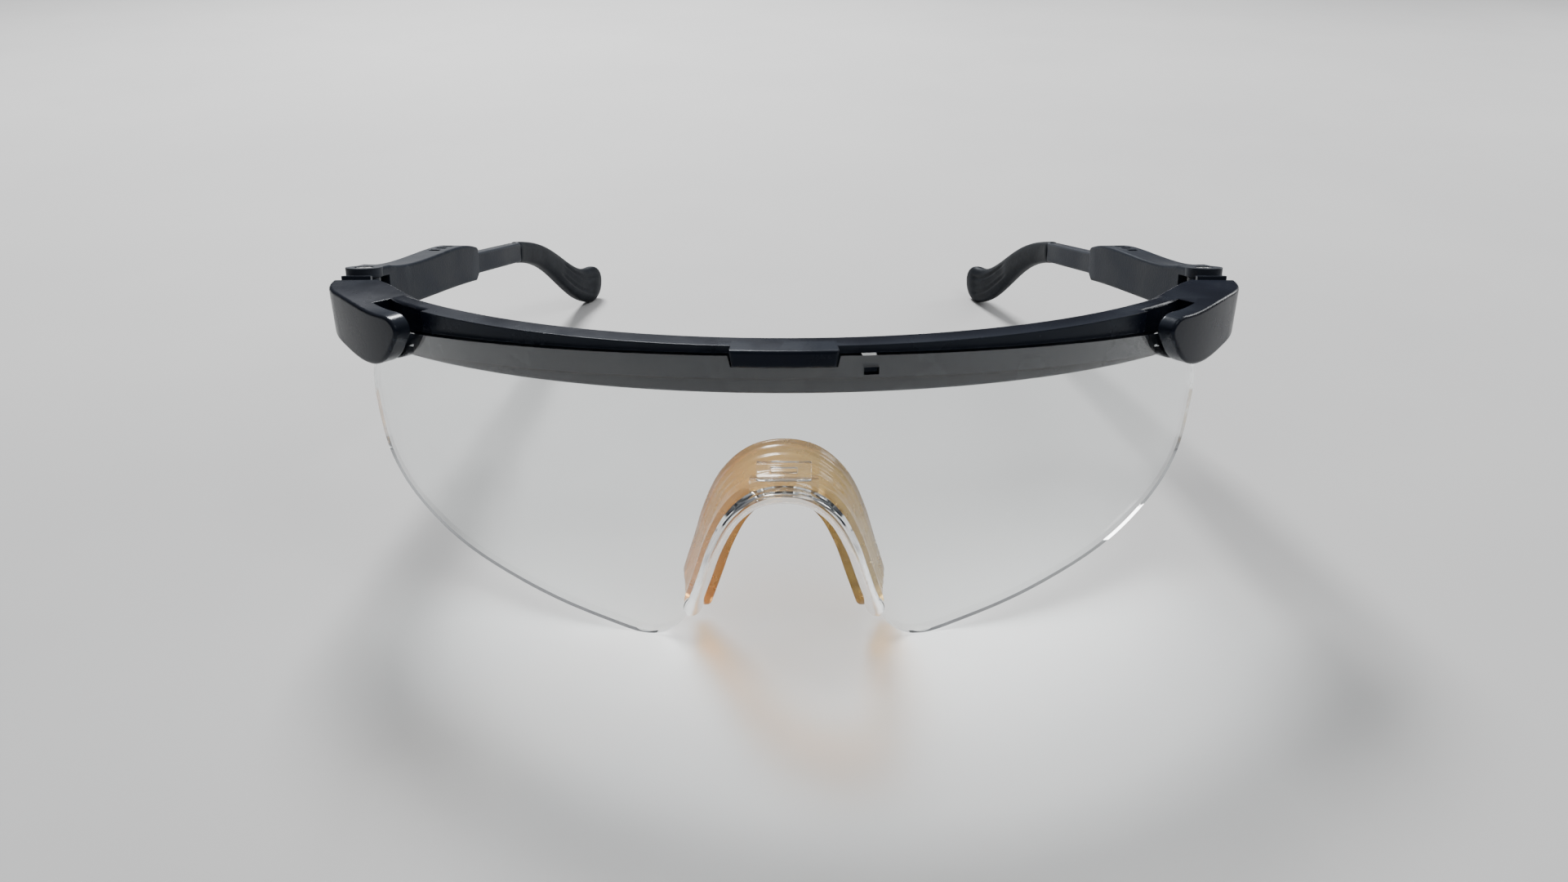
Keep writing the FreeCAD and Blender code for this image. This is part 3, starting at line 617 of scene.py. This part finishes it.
# ---------------------------------------------- pieces
for name in ("brow_frame", "hinge_block_left", "hinge_block_right"):
    repaint(name, GLOSS_BLACK)
for side in ("left", "right"):
    repaint("temple_sleeve_" + side, MATT_BLACK)
    repaint("temple_arm_" + side, MATT_BLACK)
    repaint("hinge_screw_" + side, STEEL)
    repaint("hinge_nut_" + side, BRASS)
    make_tip(side)
repaint("lens", LENS_CLEAR)
make_nose_rail()
make_nose_tab()
make_nose_pad()


# ---------------------------------------------- stage, light and camera, in metres
LENS_FOOT_Y = mounts["lens_foot_right"]["pos_m"][1]
WORLD_STRENGTH = 0.55
DIM_HORIZON = (0.05, 0.055, 0.07, 1.0)
BRIGHT_OVERHEAD = (0.95, 0.97, 1.0, 1.0)
PALE_WALL = (0.42, 0.424, 0.428, 1.0)
CAMERA_LENS_MM = 26.4
CAMERA_ELEVATION = math.radians(29.0)
CAMERA_DISTANCE = 0.185


def make_floor():
    """A flat pale table, far larger than the goggles."""
    half = 4.0
    mesh = bpy.data.meshes.new("floor")
    corners = [(-half, -half, 0), (half, -half, 0), (half, half, 0), (-half, half, 0)]
    mesh.from_pydata(corners, [], [(0, 1, 2, 3)])
    floor = bpy.data.objects.new("floor", mesh)
    bpy.context.scene.collection.objects.link(floor)
    mesh.materials.append(paint_floor())


def make_softbox(name, offset, width, height, power):
    """A rectangular lamp at an offset from the lens's feet, aimed at them."""
    aim = Vector((0.0, LENS_FOOT_Y + 0.03, 0.02))
    light = bpy.data.lights.new(name, "AREA")
    light.shape = "RECTANGLE"
    light.size = width
    light.size_y = height
    light.energy = power
    obj = bpy.data.objects.new(name, light)
    obj.location = aim + Vector(offset)
    obj.rotation_euler = (-Vector(offset)).to_track_quat("-Z", "Y").to_euler()
    bpy.context.scene.collection.objects.link(obj)


def make_world():
    """A room that is dim at the horizon and bright overhead; the camera itself sees an even pale wall."""
    world = bpy.data.worlds.new("studio")
    bpy.context.scene.world = world
    world.use_nodes = True
    tree = world.node_tree
    place = tree.nodes.new("ShaderNodeTexCoord")
    split = tree.nodes.new("ShaderNodeSeparateXYZ")
    tree.links.new(place.outputs["Generated"], split.inputs["Vector"])
    ramp = tree.nodes.new("ShaderNodeValToRGB")
    horizon, overhead = ramp.color_ramp.elements
    horizon.position = 0.05
    horizon.color = DIM_HORIZON
    overhead.position = 0.9
    overhead.color = BRIGHT_OVERHEAD
    tree.links.new(split.outputs["Z"], ramp.inputs["Fac"])
    mixer = tree.nodes.new("ShaderNodeMix")
    mixer.data_type = "RGBA"
    path = tree.nodes.new("ShaderNodeLightPath")
    tree.links.new(path.outputs["Is Camera Ray"], mixer.inputs["Factor"])
    tree.links.new(ramp.outputs["Color"], mixer.inputs[MIX_A])
    mixer.inputs[MIX_B].default_value = PALE_WALL
    background = tree.nodes["Background"]
    tree.links.new(mixer.outputs[MIX_RESULT], background.inputs["Color"])
    background.inputs["Strength"].default_value = WORLD_STRENGTH


def make_camera():
    """A wide phone camera a hand's length away, looking down at the front."""
    camera = bpy.data.cameras.new("camera")
    camera.sensor_width = 36.0
    camera.lens = CAMERA_LENS_MM
    camera.clip_start = 0.01
    obj = bpy.data.objects.new("camera", camera)
    target = Vector((0.0, LENS_FOOT_Y + 0.012, 0.028))
    back = Vector((0.0, -math.cos(CAMERA_ELEVATION), math.sin(CAMERA_ELEVATION)))
    obj.location = target + back * CAMERA_DISTANCE
    obj.rotation_euler = (-back).to_track_quat("-Z", "Y").to_euler()
    bpy.context.scene.collection.objects.link(obj)
    bpy.context.scene.camera = obj


make_floor()
make_world()
make_softbox("key", offset=(0.45, -0.25, 0.75), width=0.35, height=0.3, power=2.0)
make_softbox("window", offset=(-0.2, 0.7, 0.65), width=0.26, height=0.2, power=18.0)
make_softbox("rim", offset=(0.7, 0.45, 0.3), width=0.2, height=0.4, power=3.0)
make_softbox("top", offset=(0.0, 0.15, 1.0), width=0.7, height=0.7, power=1.0)
make_camera()
